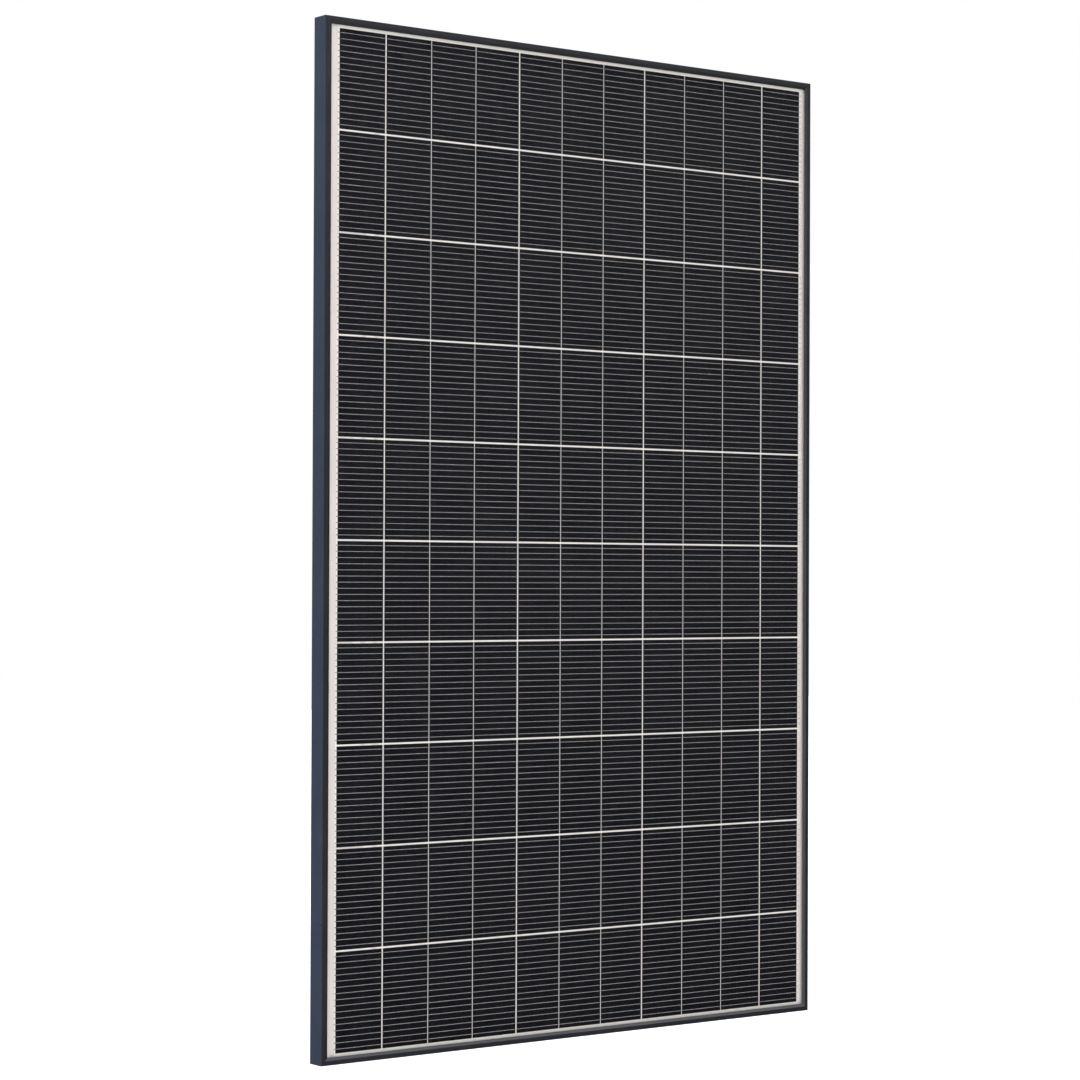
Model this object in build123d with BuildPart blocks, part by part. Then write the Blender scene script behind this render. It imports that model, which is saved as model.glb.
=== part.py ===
"""A framed solar panel: mitred aluminium rails round a glass laminate, and a junction box behind it.

Millimetres. X runs across the panel, Y from its glass front (-Y) to its back (+Y), and Z up its length.
The origin is the middle of the bottom rail's lower face.
"""
import os
from math import cos, radians

from build123d import *

os.makedirs("parts", exist_ok=True)

# ---- Panel and rails
panel_width = 1173.0
panel_length = 1886.6
frame_depth = 38.0
front_lip = 14.0
lip_thickness = 2.6
lip_bevel_width = 5.5
lip_bevel_depth = 2.1
edge_radius = 0.7
rail_wall = 1.6
chamber_width = 12.0
chamber_depth = 14.0
long_flange = 30.0
short_flange = 20.0
flange_bead = 3.2
mitre_gap = 0.1
key_leg = 62.0
key_clearance = 0.15

# ---- Holes in the rails
slot_length = 14.0
slot_width = 9.0
slot_inset = 18.0
inner_slot_spacing = 800.0
outer_slot_spacing = 1400.0
ground_hole = 4.2
ground_spacing = 300.0
drain_length = 12.0
drain_width = 5.0
drain_inset = 90.0
notch_length = 8.0
notch_width = 3.0
notch_depth = 0.7
notch_height = 252.0

# ---- Laminate, front to back
glass_thickness = 3.2
glass_chamfer = 0.6
front_encapsulant_thickness = 0.4
wire_thickness = 0.2
cell_thickness = 0.2
rear_encapsulant_thickness = 0.8
backsheet_thickness = 0.35
laminate_inset = 3.6
seal_thickness = 0.7
seal_cover = 11.0

# ---- Cells, wires and ribbons
rows = 10
columns = 11
left_margin = 20.6
right_margin = 11.0
end_margin = 4.9
row_gap = 3.2
column_gap = 1.4
wide_column_gap = 2.6
wide_gap_every = 3
wires_per_row = 16
wire_width = 0.8
wire_edge_inset = 7.75
wire_overrun = 7.0
wire_end_inset = 1.0
bus_gap = 3.6
bus_width = 4.5
bus_end_overrun = 3.0
cover_strip_width = 21.0
cover_strip_thickness = 0.1
cover_strip_end_gap = 4.0
tap_thickness = 0.2
tap_width = 6.0
insulation_thickness = 0.15

# ---- Junction box
box_width = 96.0
box_height = 110.0
box_wall = 2.2
box_base = 2.0
box_inset = 42.0
box_corner = 4.0
pad_thickness = 1.0
pad_inset = 3.0
lid_thickness = 2.4
lid_seal_thickness = 1.0
lid_gap = 0.1
lid_rim_depth = 4.0
lid_rim_wall = 1.6
lid_rim_clearance = 0.4
lid_tab_length = 6.0
lid_tab_width = 24.0
hinge_radius = 3.2
pin_radius = 1.5
pin_clearance = 0.05
hinge_top_gap = 0.5
knuckle_length = 14.0
knuckle_gap = 0.4
hinge_end_inset = 10.0
terminal_pitch = 27.0
terminal_row_spacing = 52.0
terminal_width = 12.0
terminal_height = 14.0
terminal_thickness = 8.0
riser_rise = 15.0
ribbon_slot_clearance = 0.8
ribbon_slot_height = 3.0
insulation_overlap = 2.0
screw_radius = 1.5
screw_clearance = 0.05
screw_length = 5.0
screw_head_radius = 2.9
screw_head_height = 2.2
diode_radius = 3.6
diode_length = 9.0
diode_lead_radius = 0.6

# ---- Cable glands
gland_spacing = 64.0
gland_thread_radius = 7.0
gland_bore_radius = 4.0
gland_length = 9.0
nut_clearance = 0.06
nut_wall = 1.44
nut_chamfer = 0.8
nut_floor_gap = 1.2
gland_rim_depth = 3.0
nut_cap = 2.5
nut_wall_gap = 1.0
nut_mouth_radius = 4.5
gland_seal_thickness = 2.4
gland_seal_clearance = 0.1
gland_seal_bore = 3.0

# ---- Rating label
label_width = 120.0
label_height = 70.0
label_thickness = 0.15
label_inset = 230.0

# ---- Places that follow from the values above
half_width = panel_width / 2
half_length = panel_length / 2
y_front = -frame_depth / 2
y_back = frame_depth / 2
y_lip_back = y_front + lip_thickness
y_glass = y_lip_back + seal_thickness
y_front_encapsulant = y_glass + glass_thickness
y_front_wire = y_front_encapsulant + front_encapsulant_thickness
y_cell = y_front_wire + wire_thickness
y_rear_wire = y_cell + cell_thickness
y_rear_encapsulant = y_rear_wire + wire_thickness
y_backsheet = y_rear_encapsulant + rear_encapsulant_thickness
y_laminate_back = y_backsheet + backsheet_thickness
y_shelf = y_laminate_back + seal_thickness
y_chamber_floor = y_shelf + chamber_depth

laminate_width = panel_width - 2 * laminate_inset
laminate_length = panel_length - 2 * laminate_inset
cells_width = panel_width - 2 * front_lip - left_margin - right_margin
cells_length = panel_length - 2 * (front_lip + end_margin)
column_gaps = [
    wide_column_gap if column % wide_gap_every == 0 else column_gap for column in range(columns - 1)
]
x_cells = (left_margin - right_margin) / 2
cell_width = (cells_width - sum(column_gaps)) / columns
cell_height = (cells_length - (rows - 1) * row_gap) / rows
cell_starts = [
    x_cells - cells_width / 2 + column * cell_width + sum(column_gaps[:column])
    for column in range(columns)
]
row_centres = [
    panel_length - front_lip - end_margin - cell_height / 2 - row * (cell_height + row_gap)
    for row in range(rows)
]
wire_pitch = (cell_height - 2 * wire_edge_inset) / (wires_per_row - 1)

box_x = -half_width + box_inset + box_width / 2
box_z = half_length
nut_half_flats = gland_thread_radius + nut_clearance + nut_wall
nut_corner_radius = nut_half_flats / cos(radians(30))
y_gland = y_laminate_back + nut_floor_gap + nut_corner_radius
y_box = y_laminate_back + pad_thickness
box_depth = y_gland + gland_thread_radius + gland_rim_depth - y_box
y_box_back = y_box + box_depth
y_lid = y_box_back + lid_seal_thickness + lid_gap
y_hinge = y_lid + lid_thickness - hinge_radius
z_hinge = box_z + box_height / 2 + hinge_top_gap + hinge_radius
terminal_columns = [box_x + (column - 1) * terminal_pitch for column in range(3)]
terminal_rows = [box_z + terminal_row_spacing / 2, box_z - terminal_row_spacing / 2]


def save(piece, name):
    """Label a finished piece and write it as its own STEP file."""
    piece.part.label = name
    export_step(piece.part, f"parts/{name}.step")


# ---- Frame rails


def rail_section(flange):
    """The rail's profile: local X is the distance in from its outer face, and local Y is depth."""
    with BuildSketch() as section:
        with BuildLine():
            Polyline(
                (0, y_front),
                (front_lip - lip_bevel_width, y_front),
                (front_lip, y_front + lip_bevel_depth),
                (front_lip, y_lip_back),
                (rail_wall, y_lip_back),
                (rail_wall, y_shelf),
                (chamber_width, y_shelf),
                (chamber_width, y_chamber_floor),
                (rail_wall, y_chamber_floor),
                (rail_wall, y_back - rail_wall),
                (flange - rail_wall, y_back - rail_wall),
                (flange - rail_wall, y_back - flange_bead),
                (flange, y_back - flange_bead),
                (flange, y_back),
                (0, y_back),
                close=True,
            )
        make_face()
        fillet(section.vertices().group_by(Axis.X)[0], edge_radius)
        with Locations((chamber_width / 2, (y_shelf + y_chamber_floor) / 2)):
            Rectangle(chamber_width - 2 * rail_wall, chamber_depth - 2 * rail_wall, mode=Mode.SUBTRACT)
    return section.sketch


def mitre_plane(x_side, z, into_x, into_z):
    """The cutting plane of one mitre, half the gap back from the corner's diagonal."""
    normal = Vector(into_x, 0, into_z).normalized()
    corner = Vector(x_side * half_width, 0, z) + normal * (mitre_gap / 2)
    return Plane(origin=corner, x_dir=(0, 1, 0), z_dir=normal)


long_section = rail_section(long_flange)
short_section = rail_section(short_flange)
left_outer_face = Plane(origin=(-half_width, 0, 0), x_dir=(1, 0, 0), z_dir=(0, 0, 1))
bottom_outer_face = Plane(origin=(half_width, 0, 0), x_dir=(0, 0, 1), z_dir=(-1, 0, 0))
flange_plane = Plane(origin=(0, y_back, half_length), x_dir=(1, 0, 0), z_dir=(0, 1, 0))
x_slots = -half_width + slot_inset


def long_rail():
    """A long rail on the left, mitred, with its mounting slots and grounding holes."""
    with BuildPart() as rail:
        with BuildSketch(left_outer_face):
            add(long_section)
        extrude(amount=panel_length)
        split(bisect_by=mitre_plane(-1, 0, -1, 1), keep=Keep.TOP)
        split(bisect_by=mitre_plane(-1, panel_length, -1, -1), keep=Keep.TOP)
        with BuildSketch(flange_plane):
            for spacing in (inner_slot_spacing, outer_slot_spacing):
                with Locations((x_slots, spacing / 2), (x_slots, -spacing / 2)):
                    SlotOverall(slot_length, slot_width, rotation=90)
            with Locations((x_slots, ground_spacing / 2), (x_slots, -ground_spacing / 2)):
                Circle(ground_hole / 2)
        extrude(amount=-2 * rail_wall, mode=Mode.SUBTRACT)
    return rail.part


with BuildPart() as left_rail:
    add(long_rail())
    # a shallow locating notch at the front edge of the side, low down
    with BuildSketch(Plane(origin=(-half_width, y_front, notch_height), x_dir=(0, 1, 0), z_dir=(-1, 0, 0))):
        Rectangle(notch_length, notch_width, align=(Align.MIN, Align.CENTER))
    extrude(amount=-notch_depth, mode=Mode.SUBTRACT)
save(left_rail, "frame_rail_left")

with BuildPart() as right_rail:
    mirror(long_rail(), about=Plane.YZ)
save(right_rail, "frame_rail_right")

y_drain = (y_chamber_floor + y_back - rail_wall) / 2
x_drain = half_width - drain_inset
with BuildPart() as bottom_rail:
    with BuildSketch(bottom_outer_face):
        add(short_section)
    extrude(amount=panel_width)
    split(bisect_by=mitre_plane(-1, 0, 1, -1), keep=Keep.TOP)
    split(bisect_by=mitre_plane(1, 0, -1, -1), keep=Keep.TOP)
    # drain slots through the outer wall, behind the chamber
    with BuildSketch(Plane.XY):
        with Locations((x_drain, y_drain), (-x_drain, y_drain)):
            SlotOverall(drain_length, drain_width)
    extrude(amount=2 * rail_wall, mode=Mode.SUBTRACT)
save(bottom_rail, "frame_rail_bottom")

with BuildPart() as top_rail:
    mirror(bottom_rail.part, about=Plane.XY.offset(half_length))
save(top_rail, "frame_rail_top")

# ---- Corner keys, one in each pair of rail chambers
key_inset = rail_wall + key_clearance
key_width = chamber_width - 2 * key_inset
key_depth = chamber_depth - 2 * key_inset
key_plane = Plane(origin=(-half_width, y_shelf + key_inset, 0), x_dir=(1, 0, 0), z_dir=(0, 1, 0))

with BuildPart() as lower_left_key:
    with BuildSketch(key_plane):
        with BuildLine():
            Polyline(
                (key_inset, -key_inset),
                (key_inset, -key_leg),
                (key_inset + key_width, -key_leg),
                (key_inset + key_width, -key_inset - key_width),
                (key_leg, -key_inset - key_width),
                (key_leg, -key_inset),
                close=True,
            )
        make_face()
    extrude(amount=key_depth)
save(lower_left_key, "corner_key_lower_left")

with BuildPart() as lower_right_key:
    mirror(lower_left_key.part, about=Plane.YZ)
save(lower_right_key, "corner_key_lower_right")

with BuildPart() as upper_left_key:
    mirror(lower_left_key.part, about=Plane.XY.offset(half_length))
save(upper_left_key, "corner_key_upper_left")

with BuildPart() as upper_right_key:
    mirror(lower_right_key.part, about=Plane.XY.offset(half_length))
save(upper_right_key, "corner_key_upper_right")

# ---- Laminate


def panel_plane(y):
    """A plane across the panel at depth y, centred on it, with local X along X and local Y down."""
    return Plane(origin=(0, y, half_length), x_dir=(1, 0, 0), z_dir=(0, 1, 0))


with BuildPart() as edge_seal:
    with BuildSketch(panel_plane(y_lip_back)):
        Rectangle(panel_width - 2 * rail_wall, panel_length - 2 * rail_wall)
        Rectangle(panel_width - 2 * seal_cover, panel_length - 2 * seal_cover, mode=Mode.SUBTRACT)
    extrude(amount=y_shelf - y_lip_back)
    with BuildSketch(panel_plane(y_glass)):
        Rectangle(laminate_width, laminate_length)
    extrude(amount=y_laminate_back - y_glass, mode=Mode.SUBTRACT)
save(edge_seal, "edge_seal")

with BuildPart() as front_glass:
    with BuildSketch(panel_plane(y_glass)):
        Rectangle(laminate_width, laminate_length)
    extrude(amount=glass_thickness)
    chamfer(front_glass.faces().sort_by(Axis.Y)[0].edges(), glass_chamfer)
save(front_glass, "front_glass")

with BuildPart() as cover_strip:
    # a white film that hides the left bus ribbons
    with BuildSketch(panel_plane(y_front_wire)):
        with Locations((x_cells - cells_width / 2 - bus_gap, 0)):
            Rectangle(
                cover_strip_width,
                laminate_length - 2 * cover_strip_end_gap,
                align=(Align.MAX, Align.CENTER),
            )
    extrude(amount=-cover_strip_thickness)
save(cover_strip, "cover_strip")

with BuildPart() as front_encapsulant:
    with BuildSketch(panel_plane(y_front_encapsulant)):
        Rectangle(laminate_width, laminate_length)
    extrude(amount=front_encapsulant_thickness)
    add(cover_strip.part, mode=Mode.SUBTRACT)
save(front_encapsulant, "front_encapsulant")

# ---- Cells and the wires that join them
wire_starts = [
    (wire - (wires_per_row - 1) / 2) * wire_pitch - wire_width / 2 for wire in range(wires_per_row)
]


def cell_row(row):
    """One row of cells, in a flat layer."""
    with BuildPart() as cells:
        with BuildSketch(panel_plane(y_cell)):
            for start in cell_starts:
                with Locations((start + cell_width / 2, half_length - row_centres[row])):
                    Rectangle(cell_width, cell_height)
        extrude(amount=cell_thickness)
    return cells


def row_wires(row):
    """The wires of a row, on the front and the back of its cells, running out over the bus ribbons."""
    wire_length = cells_width - wire_end_inset + wire_overrun
    with BuildPart() as wires:
        with BuildSketch(*[Plane.XY.offset(row_centres[row] + start) for start in wire_starts]):
            with Locations((x_cells + cells_width / 2 + wire_overrun, y_front_wire)):
                Rectangle(wire_length, wire_thickness, align=(Align.MAX, Align.MIN))
            with Locations((x_cells - cells_width / 2 - wire_overrun, y_rear_wire)):
                Rectangle(wire_length, wire_thickness, align=(Align.MIN, Align.MIN))
        extrude(amount=wire_width)
        if row % 2 == 1:
            mirror(about=Plane.YZ.offset(x_cells), mode=Mode.REPLACE)
    return wires


for row in range(rows):
    save(cell_row(row), f"cell_row_{row + 1:02d}")
    save(row_wires(row), f"cell_wires_{row + 1:02d}")

# ---- Bus ribbons: the current runs down the panel row by row, and turns at each side
bus_offset = cells_width / 2 + bus_gap + bus_width / 2
x_left_bus = x_cells - bus_offset
bus_reach = cell_height / 2 - wire_edge_inset + bus_end_overrun


def bus_ribbons(side, row_pairs):
    """The bus ribbons of one side, each from the first to the last row that it joins."""
    with BuildPart() as ribbons:
        with BuildSketch(panel_plane(y_cell)):
            for first, last in row_pairs:
                height = row_centres[first] - row_centres[last] + 2 * bus_reach
                middle = (row_centres[first] + row_centres[last]) / 2
                with Locations((x_cells + side * bus_offset, half_length - middle)):
                    Rectangle(bus_width, height)
        extrude(amount=cell_thickness)
    return ribbons


left_pairs = [(0, 0)] + [(row, row + 1) for row in range(1, rows - 1, 2)] + [(rows - 1, rows - 1)]
right_pairs = [(row, row + 1) for row in range(0, rows, 2)]
save(bus_ribbons(-1, left_pairs), "bus_ribbons_left")
save(bus_ribbons(1, right_pairs), "bus_ribbons_right")

# ---- Tap ribbons, from the left bus ribbons to the junction box's terminals
y_tap = y_rear_encapsulant + insulation_thickness
y_tap_back = y_tap + tap_thickness
y_terminal = y_box + box_base
y_tongue = y_terminal + terminal_thickness
z_riser = terminal_rows[0] + riser_rise
tap_heights = [(row_centres[first] + row_centres[last]) / 2 for first, last in left_pairs[:3]]
taps = list(zip(tap_heights, reversed(terminal_columns)))


def tap_paths(x_start, overlap):
    """The upper taps' legs and runs, seen from the front, as one flat shape."""
    width = tap_width + 2 * overlap
    with BuildSketch(Plane.XZ) as paths:
        for height, column in taps:
            with Locations((x_start, height)):
                Rectangle(column + width / 2 - x_start, width, align=(Align.MIN, Align.CENTER))
            with Locations((column, height)):
                Rectangle(width, height - z_riser, align=(Align.CENTER, Align.MAX))
    return paths.sketch_local


def wall_plane(y):
    """A plane at depth y, with local X along X and local Y along Z, facing the front."""
    return Plane(origin=(0, y, 0), x_dir=(1, 0, 0), z_dir=(0, -1, 0))


with BuildPart() as tap_ribbons:
    with BuildSketch(wall_plane(y_tap_back)):
        add(tap_paths(x_left_bus, 0))
    extrude(amount=tap_thickness)
    for height, column in taps:
        # the solder joint on the bus ribbon
        with Locations((x_left_bus, y_rear_wire, height)):
            Box(bus_width, y_tap_back - y_rear_wire, tap_width, align=(Align.CENTER, Align.MIN, Align.CENTER))
        # the riser through the backsheet, and the tongue on the terminal
        with Locations((column, y_tap, z_riser)):
            Box(
                tap_width,
                y_tongue + tap_thickness - y_tap,
                tap_thickness,
                align=(Align.CENTER, Align.MIN, Align.MIN),
            )
        with Locations((column, y_tongue, z_riser + tap_thickness)):
            Box(
                tap_width,
                tap_thickness,
                riser_rise + terminal_height / 2 + tap_thickness,
                align=(Align.CENTER, Align.MIN, Align.MAX),
            )
        with Locations(Location((column, y_tongue, terminal_rows[0]), (90, 0, 0))):
            Cylinder(screw_radius + screw_clearance, 4 * tap_thickness, mode=Mode.SUBTRACT)
    mirror(about=Plane.XY.offset(box_z))
save(tap_ribbons, "tap_ribbons")

with BuildPart() as insulation_strips:
    with BuildSketch(wall_plane(y_tap)):
        add(tap_paths(x_left_bus + bus_width / 2, insulation_overlap))
    extrude(amount=insulation_thickness)
    mirror(about=Plane.XY.offset(box_z))
save(insulation_strips, "insulation_strips")


def ribbon_slots():
    """The two slots that the risers pass through, seen from the front."""
    length = terminal_columns[-1] - terminal_columns[0] + tap_width + 2 * ribbon_slot_clearance
    with BuildSketch() as slots:
        with Locations((box_x, z_riser), (box_x, 2 * box_z - z_riser)):
            Rectangle(length, ribbon_slot_height)
    return slots.sketch


with BuildPart() as tap_pocket:
    with BuildSketch(wall_plane(y_tap_back)):
        add(tap_paths(x_left_bus - bus_width / 2, insulation_overlap))
    extrude(amount=y_tap_back - y_rear_encapsulant)
    mirror(about=Plane.XY.offset(box_z))

with BuildPart() as rear_encapsulant:
    with BuildSketch(panel_plane(y_rear_encapsulant)):
        Rectangle(laminate_width, laminate_length)
    extrude(amount=rear_encapsulant_thickness)
    add(tap_pocket.part, mode=Mode.SUBTRACT)
    with BuildSketch(wall_plane(y_backsheet)):
        add(ribbon_slots())
    extrude(amount=rear_encapsulant_thickness, mode=Mode.SUBTRACT)
save(rear_encapsulant, "rear_encapsulant")

with BuildPart() as backsheet:
    with BuildSketch(panel_plane(y_backsheet)):
        Rectangle(laminate_width, laminate_length)
    extrude(amount=backsheet_thickness)
    with BuildSketch(wall_plane(y_laminate_back)):
        add(ribbon_slots())
    extrude(amount=backsheet_thickness, mode=Mode.SUBTRACT)
save(backsheet, "backsheet")

with BuildPart() as rating_label:
    with BuildSketch(panel_plane(y_laminate_back)):
        with Locations((half_width - label_inset, label_inset - half_length)):
            Rectangle(label_width, label_height)
    extrude(amount=label_thickness)
save(rating_label, "rating_label")

# ---- Junction box
with BuildPart() as adhesive_pad:
    with BuildSketch(wall_plane(y_box)):
        with Locations((box_x, box_z)):
            RectangleRounded(box_width - 2 * pad_inset, box_height - 2 * pad_inset, box_corner)
        add(ribbon_slots(), mode=Mode.SUBTRACT)
    extrude(amount=pad_thickness)
save(adhesive_pad, "junction_box_pad")

box_right = box_x + box_width / 2
box_top = box_z + box_height / 2
gland_heights = [box_z + gland_spacing / 2, box_z - gland_spacing / 2]
knuckle_ends = [box_x - box_width / 2 + hinge_end_inset, box_right - hinge_end_inset - knuckle_length]
lid_knuckle_start = knuckle_ends[0] + knuckle_length + knuckle_gap
lid_knuckle_length = knuckle_ends[1] - knuckle_gap - lid_knuckle_start


def box_plane(y):
    """A plane on the junction box at depth y, centred on it and facing the back."""
    return Plane(origin=(box_x, y, box_z), x_dir=(1, 0, 0), z_dir=(0, 1, 0))


def gland_plane(x, height):
    """A plane across a gland at x, facing outwards."""
    return Plane(origin=(x, y_gland, height), x_dir=(0, 1, 0), z_dir=(1, 0, 0))


with BuildPart() as box_body:
    with BuildSketch(box_plane(y_box)):
        RectangleRounded(box_width, box_height, box_corner)
    extrude(amount=box_depth)
    with BuildSketch(box_plane(y_terminal)):
        RectangleRounded(box_width - 2 * box_wall, box_height - 2 * box_wall, box_corner - box_wall)
    extrude(amount=box_depth - box_base, mode=Mode.SUBTRACT)
    with BuildSketch(wall_plane(y_terminal)):
        add(ribbon_slots())
    extrude(amount=box_base, mode=Mode.SUBTRACT)
    for height in gland_heights:
        with BuildSketch(gland_plane(box_right - box_wall / 2, height)):
            Circle(gland_thread_radius)
        extrude(amount=gland_length + box_wall / 2)
        with BuildSketch(gland_plane(box_right - box_wall, height)):
            Circle(gland_bore_radius)
        extrude(amount=gland_length + box_wall, mode=Mode.SUBTRACT)
    for start in knuckle_ends:
        with BuildSketch(Plane(origin=(start, 0, 0), x_dir=(0, 1, 0), z_dir=(1, 0, 0))):
            with Locations((y_hinge, z_hinge)):
                Circle(hinge_radius)
            with BuildLine():
                Polyline(
                    (y_hinge - hinge_radius, z_hinge),
                    (y_box_back - box_wall, z_hinge),
                    (y_box_back - box_wall, box_top - box_wall / 2),
                    (y_hinge - 2 * hinge_radius, box_top - box_wall / 2),
                    (y_hinge - 2 * hinge_radius, box_top),
                    close=True,
                )
            make_face()
            with Locations((y_hinge, z_hinge)):
                Circle(pin_radius, mode=Mode.SUBTRACT)
        extrude(amount=knuckle_length)
save(box_body, "junction_box_body")

with BuildPart() as hinge_pin:
    with BuildSketch(Plane(origin=(knuckle_ends[0], 0, 0), x_dir=(0, 1, 0), z_dir=(1, 0, 0))):
        with Locations((y_hinge, z_hinge)):
            Circle(pin_radius)
    extrude(amount=knuckle_ends[1] + knuckle_length - knuckle_ends[0])
save(hinge_pin, "junction_box_hinge_pin")

with BuildPart() as lid:
    with BuildSketch(box_plane(y_lid)):
        RectangleRounded(box_width, box_height, box_corner)
        with Locations((0, box_height / 2)):
            Rectangle(lid_tab_width, 2 * lid_tab_length)
    extrude(amount=lid_thickness)
    rim_inset = box_wall + lid_rim_clearance
    with BuildSketch(box_plane(y_lid)):
        RectangleRounded(box_width - 2 * rim_inset, box_height - 2 * rim_inset, box_corner - rim_inset)
        Rectangle(
            box_width - 2 * (rim_inset + lid_rim_wall),
            box_height - 2 * (rim_inset + lid_rim_wall),
            mode=Mode.SUBTRACT,
        )
    extrude(amount=-lid_rim_depth)
    with BuildSketch(Plane(origin=(lid_knuckle_start, 0, 0), x_dir=(0, 1, 0), z_dir=(1, 0, 0))):
        with Locations((y_hinge, z_hinge)):
            Circle(hinge_radius)
        with Locations((y_lid, box_top - box_wall)):
            Rectangle(lid_thickness, z_hinge - box_top + box_wall, align=(Align.MIN, Align.MIN))
        with Locations((y_hinge, z_hinge)):
            Circle(pin_radius + pin_clearance, mode=Mode.SUBTRACT)
    extrude(amount=lid_knuckle_length)
save(lid, "junction_box_lid")

with BuildPart() as lid_seal:
    with BuildSketch(box_plane(y_box_back)):
        RectangleRounded(box_width, box_height, box_corner)
        RectangleRounded(
            box_width - 2 * box_wall, box_height - 2 * box_wall, box_corner - box_wall, mode=Mode.SUBTRACT
        )
    extrude(amount=lid_seal_thickness)
save(lid_seal, "junction_box_lid_seal")

terminal_places = [(column, height) for column in terminal_columns for height in terminal_rows]

with BuildPart() as terminals:
    for column, height in terminal_places:
        with BuildSketch(wall_plane(y_tongue)):
            with Locations((column, height)):
                Rectangle(terminal_width, terminal_height)
        extrude(amount=terminal_thickness)
    for column, height in terminal_places:
        with BuildSketch(wall_plane(y_tongue)):
            with Locations((column, height)):
                Circle(screw_radius + screw_clearance)
        extrude(amount=screw_length, mode=Mode.SUBTRACT)
save(terminals, "terminal_blocks")

y_screw_head = y_tongue + tap_thickness
with BuildPart() as terminal_screws:
    for column, height in terminal_places:
        with BuildSketch(wall_plane(y_screw_head)):
            with Locations((column, height)):
                Circle(screw_radius)
        extrude(amount=screw_length)
        with BuildSketch(wall_plane(y_screw_head + screw_head_height)):
            with Locations((column, height)):
                Circle(screw_head_radius)
        extrude(amount=screw_head_height)
save(terminal_screws, "terminal_screws")

y_diode = y_terminal + terminal_thickness / 2
with BuildPart() as diodes:
    lead_across = terminal_pitch - terminal_width
    lead_up = terminal_row_spacing - terminal_height
    for start in terminal_columns[:2]:
        for height in terminal_rows:
            with BuildSketch(Plane(origin=(start + terminal_width / 2, y_diode, height), z_dir=(1, 0, 0))):
                Circle(diode_lead_radius)
            extrude(amount=lead_across)
            body_start = start + terminal_pitch / 2 - diode_length / 2
            with BuildSketch(Plane(origin=(body_start, y_diode, height), z_dir=(1, 0, 0))):
                Circle(diode_radius)
            extrude(amount=diode_length)
    with BuildSketch(Plane(origin=(terminal_columns[0], y_diode, box_z - lead_up / 2))):
        Circle(diode_lead_radius)
    extrude(amount=lead_up)
    with BuildSketch(Plane(origin=(terminal_columns[0], y_diode, box_z - diode_length / 2))):
        Circle(diode_radius)
    extrude(amount=diode_length)
save(diodes, "bypass_diodes")

# ---- Cable glands
x_seal = box_right + gland_length
x_nut = box_right + nut_wall_gap
nut_cavity = gland_length - nut_wall_gap + gland_seal_thickness + gland_seal_clearance

for height, name in zip(gland_heights, ("upper", "lower")):
    with BuildPart() as gland_seal:
        with BuildSketch(gland_plane(x_seal, height)):
            Circle(gland_thread_radius)
            Circle(gland_seal_bore, mode=Mode.SUBTRACT)
        extrude(amount=gland_seal_thickness)
    save(gland_seal, f"gland_seal_{name}")

    with BuildPart() as gland_nut:
        with BuildSketch(gland_plane(x_nut, height)):
            RegularPolygon(nut_corner_radius, 6)
        extrude(amount=nut_cavity + nut_cap)
        chamfer(gland_nut.faces().sort_by(Axis.X)[-1].edges(), nut_chamfer)
        with BuildSketch(gland_plane(x_nut, height)):
            Circle(gland_thread_radius + nut_clearance)
        extrude(amount=nut_cavity, mode=Mode.SUBTRACT)
        with BuildSketch(gland_plane(x_nut, height)):
            Circle(nut_mouth_radius)
        extrude(amount=nut_cavity + nut_cap, mode=Mode.SUBTRACT)
    save(gland_nut, f"gland_nut_{name}")
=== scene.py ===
"""Looks for a framed solar panel: anodised rails, glass, cells, wires, ribbons and the junction box behind."""

import math
import random

import bmesh
import bpy
from bpy.props import FloatProperty, FloatVectorProperty, IntProperty, PointerProperty
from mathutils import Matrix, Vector


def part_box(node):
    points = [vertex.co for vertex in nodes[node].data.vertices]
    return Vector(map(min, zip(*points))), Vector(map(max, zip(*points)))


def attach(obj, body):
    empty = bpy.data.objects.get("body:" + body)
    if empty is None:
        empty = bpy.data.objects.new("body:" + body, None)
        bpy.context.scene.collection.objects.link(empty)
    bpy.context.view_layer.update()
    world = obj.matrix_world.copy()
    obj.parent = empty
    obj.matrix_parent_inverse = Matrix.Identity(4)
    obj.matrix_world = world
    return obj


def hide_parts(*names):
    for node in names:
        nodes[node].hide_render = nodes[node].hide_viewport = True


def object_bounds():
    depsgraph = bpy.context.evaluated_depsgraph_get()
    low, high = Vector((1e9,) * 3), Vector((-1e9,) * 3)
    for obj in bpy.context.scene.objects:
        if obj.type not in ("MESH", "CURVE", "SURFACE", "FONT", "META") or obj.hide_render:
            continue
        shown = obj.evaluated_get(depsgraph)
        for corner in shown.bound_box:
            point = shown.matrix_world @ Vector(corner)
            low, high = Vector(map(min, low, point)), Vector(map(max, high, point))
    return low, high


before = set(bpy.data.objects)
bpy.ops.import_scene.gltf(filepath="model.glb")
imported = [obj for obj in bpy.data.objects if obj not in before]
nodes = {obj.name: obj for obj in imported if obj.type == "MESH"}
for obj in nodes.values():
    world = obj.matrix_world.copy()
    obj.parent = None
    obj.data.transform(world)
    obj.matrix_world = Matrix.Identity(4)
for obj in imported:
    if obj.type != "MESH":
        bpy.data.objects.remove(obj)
cad_low, cad_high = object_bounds()

bl_info = {
    "name": "Solar panel looks",
    "version": (1, 0, 0),
    "blender": (4, 5, 0),
    "location": "3D View > Sidebar > Solar panel",
    "description": "Finishes a framed solar panel: rails, glass, cells, wires and junction box",
    "category": "Object",
}

MM = 0.001


# ---- Fixed sizes

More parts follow.
